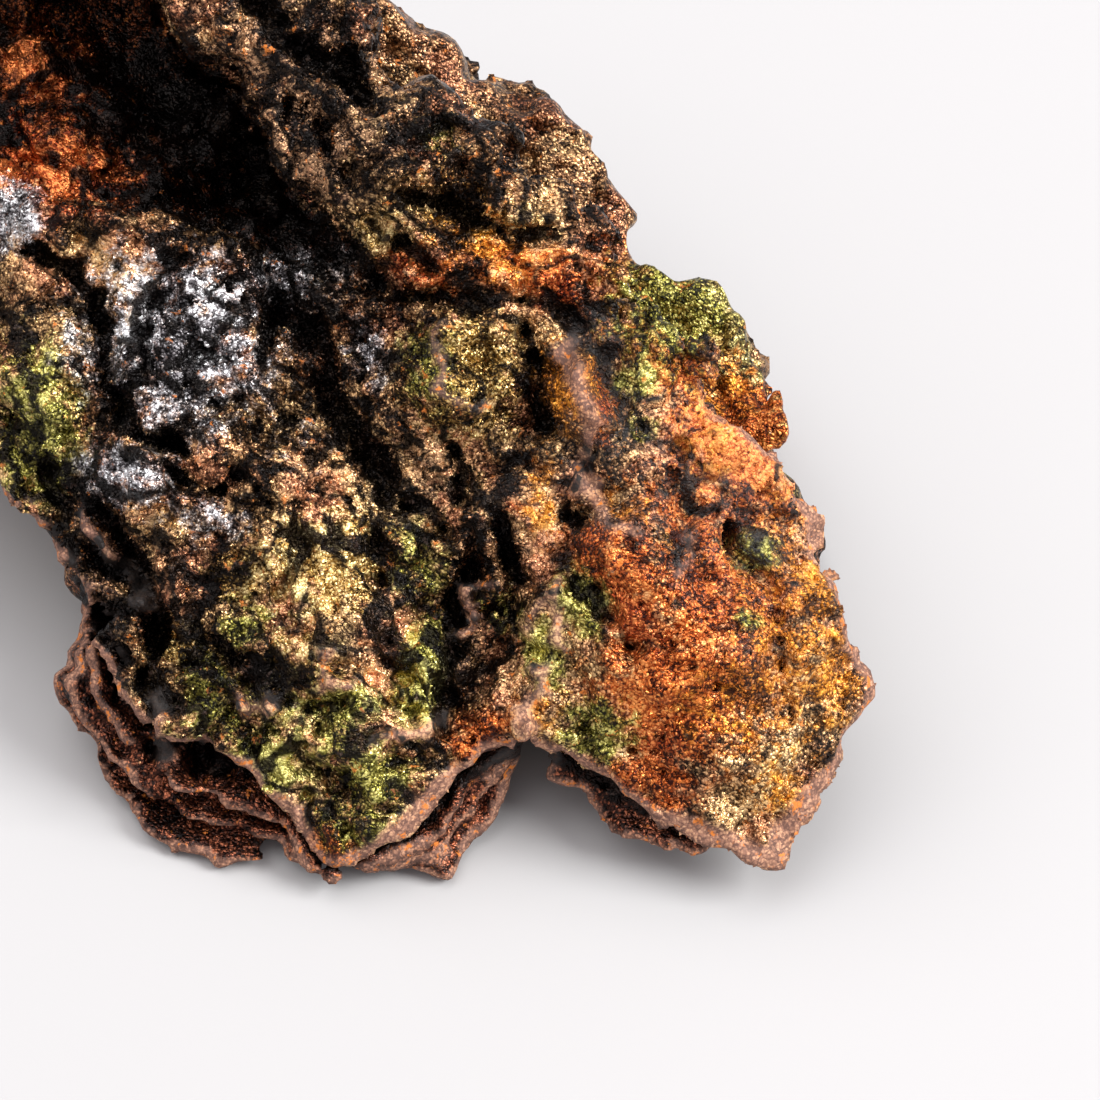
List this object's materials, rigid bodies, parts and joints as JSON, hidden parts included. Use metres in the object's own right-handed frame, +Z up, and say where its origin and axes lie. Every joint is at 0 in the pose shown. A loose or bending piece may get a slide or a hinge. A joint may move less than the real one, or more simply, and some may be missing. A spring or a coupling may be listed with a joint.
{
  "type": "rough goethite specimen",
  "caption": "Hand-sized piece of rough iridescent goethite: a leaning spongy crust with a thin broken rim, a crest, a deep hollow and older ledges beneath.",
  "frame": {"origin": "middle of the specimen's bounding box on the plane it rests on", "axes": "+Z up from the resting plane, +X along the longest extent towards the low rounded lobe, +Y towards the back shoulder"},
  "size_m": [0.0992, 0.0834, 0.0565],
  "materials": {
    "goethite": "drusy submetallic crust with an iridescent green, gold and copper tarnish; dull red-brown where broken"
  },
  "bodies": {
    "root": {"goethite": "goethite"}
  },
  "joints": []
}
